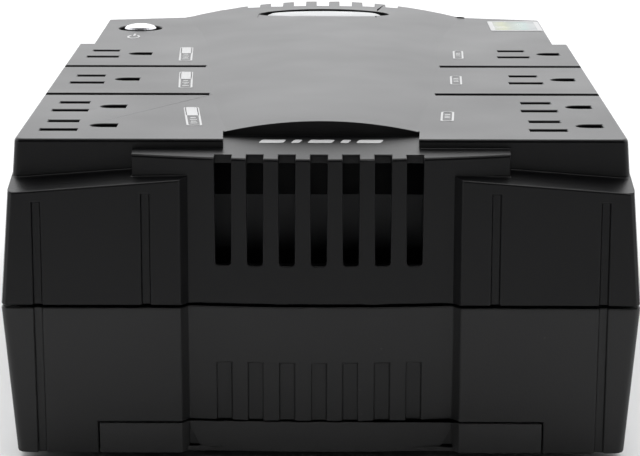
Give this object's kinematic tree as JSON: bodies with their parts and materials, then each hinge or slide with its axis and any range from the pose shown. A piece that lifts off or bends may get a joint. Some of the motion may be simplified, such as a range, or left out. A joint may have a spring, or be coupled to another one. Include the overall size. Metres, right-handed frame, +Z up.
{
  "type": "uninterruptible power supply",
  "caption": "Low desktop uninterruptible power supply with top outlets, vented ends, a push button and a sliding battery door.",
  "frame": {"origin": "centre of the box around the case, at the floor under its rubber feet", "axes": "+Y runs from the low vented front to the back, +Z up, +X to the right as seen from the front"},
  "size_m": [0.1666, 0.28, 0.0878],
  "materials": {
    "case_black": "fine-textured moulded ABS, satin",
    "outlet_insulator": "moulded insulator, matt",
    "battery_grey": "moulded battery case, satin",
    "battery_black": "moulded battery lid, satin",
    "zinc_steel": "zinc-plated steel",
    "contact_brass": "stamped brass",
    "circuit_board": "glass-epoxy board with solder mask",
    "aluminium_fins": "extruded aluminium",
    "capacitor_sleeve": "shrink sleeve",
    "component_black": "moulded component body",
    "core_iron": "varnished laminations",
    "winding_tape": "polyester winding tape",
    "rubber_black": "soft rubber",
    "breaker_white": "moulded button",
    "silver_trim": "silver-plated plastic",
    "badge_silver": "silver foil on plastic"
  },
  "bodies": {
    "case": {"badge_plate": "badge_silver", "base_tray": "case_black", "battery_case": "battery_grey", "battery_lid": "battery_black", "battery_terminal_negative": "zinc_steel", "battery_terminal_positive": "zinc_steel", "board_screw_1": "zinc_steel", "board_screw_2": "zinc_steel", "board_screw_3": "zinc_steel", "board_screw_4": "zinc_steel", "breaker_body": "component_black", "breaker_nut": "zinc_steel", "button_board": "circuit_board", "button_ring": "case_black", "button_switch": "component_black", "buzzer": "component_black", "capacitor_1": "capacitor_sleeve", "capacitor_2": "capacitor_sleeve", "case_screw_1": "zinc_steel", "case_screw_2": "zinc_steel", "case_screw_3": "zinc_steel", "case_screw_4": "zinc_steel", "cord_gland": "rubber_black", "earth_bar_left": "contact_brass", "earth_bar_right": "contact_brass", "heat_sink": "aluminium_fins", "line_jacks": "component_black", "live_bar_left": "contact_brass", "live_bar_right": "contact_brass", "main_board": "circuit_board", "neutral_bar_left": "contact_brass", "neutral_bar_right": "contact_brass", "outlet_block_left": "outlet_insulator", "outlet_block_right": "outlet_insulator", "relay_1": "component_black", "relay_2": "component_black", "rubber_foot_1": "rubber_black", "rubber_foot_2": "rubber_black", "rubber_foot_3": "rubber_black", "rubber_foot_4": "rubber_black", "top_cover": "case_black", "transformer_bracket": "zinc_steel", "transformer_coil": "winding_tape", "transformer_core": "core_iron", "transformer_screw_1": "zinc_steel", "transformer_screw_2": "zinc_steel", "usb_port": "zinc_steel"},
    "door": {"battery_door": "case_black"},
    "button": {"power_button": "silver_trim", "switch_plunger": "outlet_insulator"},
    "breaker": {"breaker_button": "breaker_white"}
  },
  "joints": [
    {"name": "battery_door_slide", "type": "slide", "parent": "case", "child": "door", "axis": [0, -1, 0], "range_m": [0, 0.03]},
    {"name": "power_button_press", "type": "slide", "parent": "case", "child": "button", "axis": [0, 0, -1], "range_m": [0, 0.0015], "stiffness_N_per_m": 400, "springref_m": -0.002},
    {"name": "breaker_button_pop", "type": "slide", "parent": "case", "child": "breaker", "axis": [0, 1, 0], "range_m": [0, 0.003]}
  ]
}
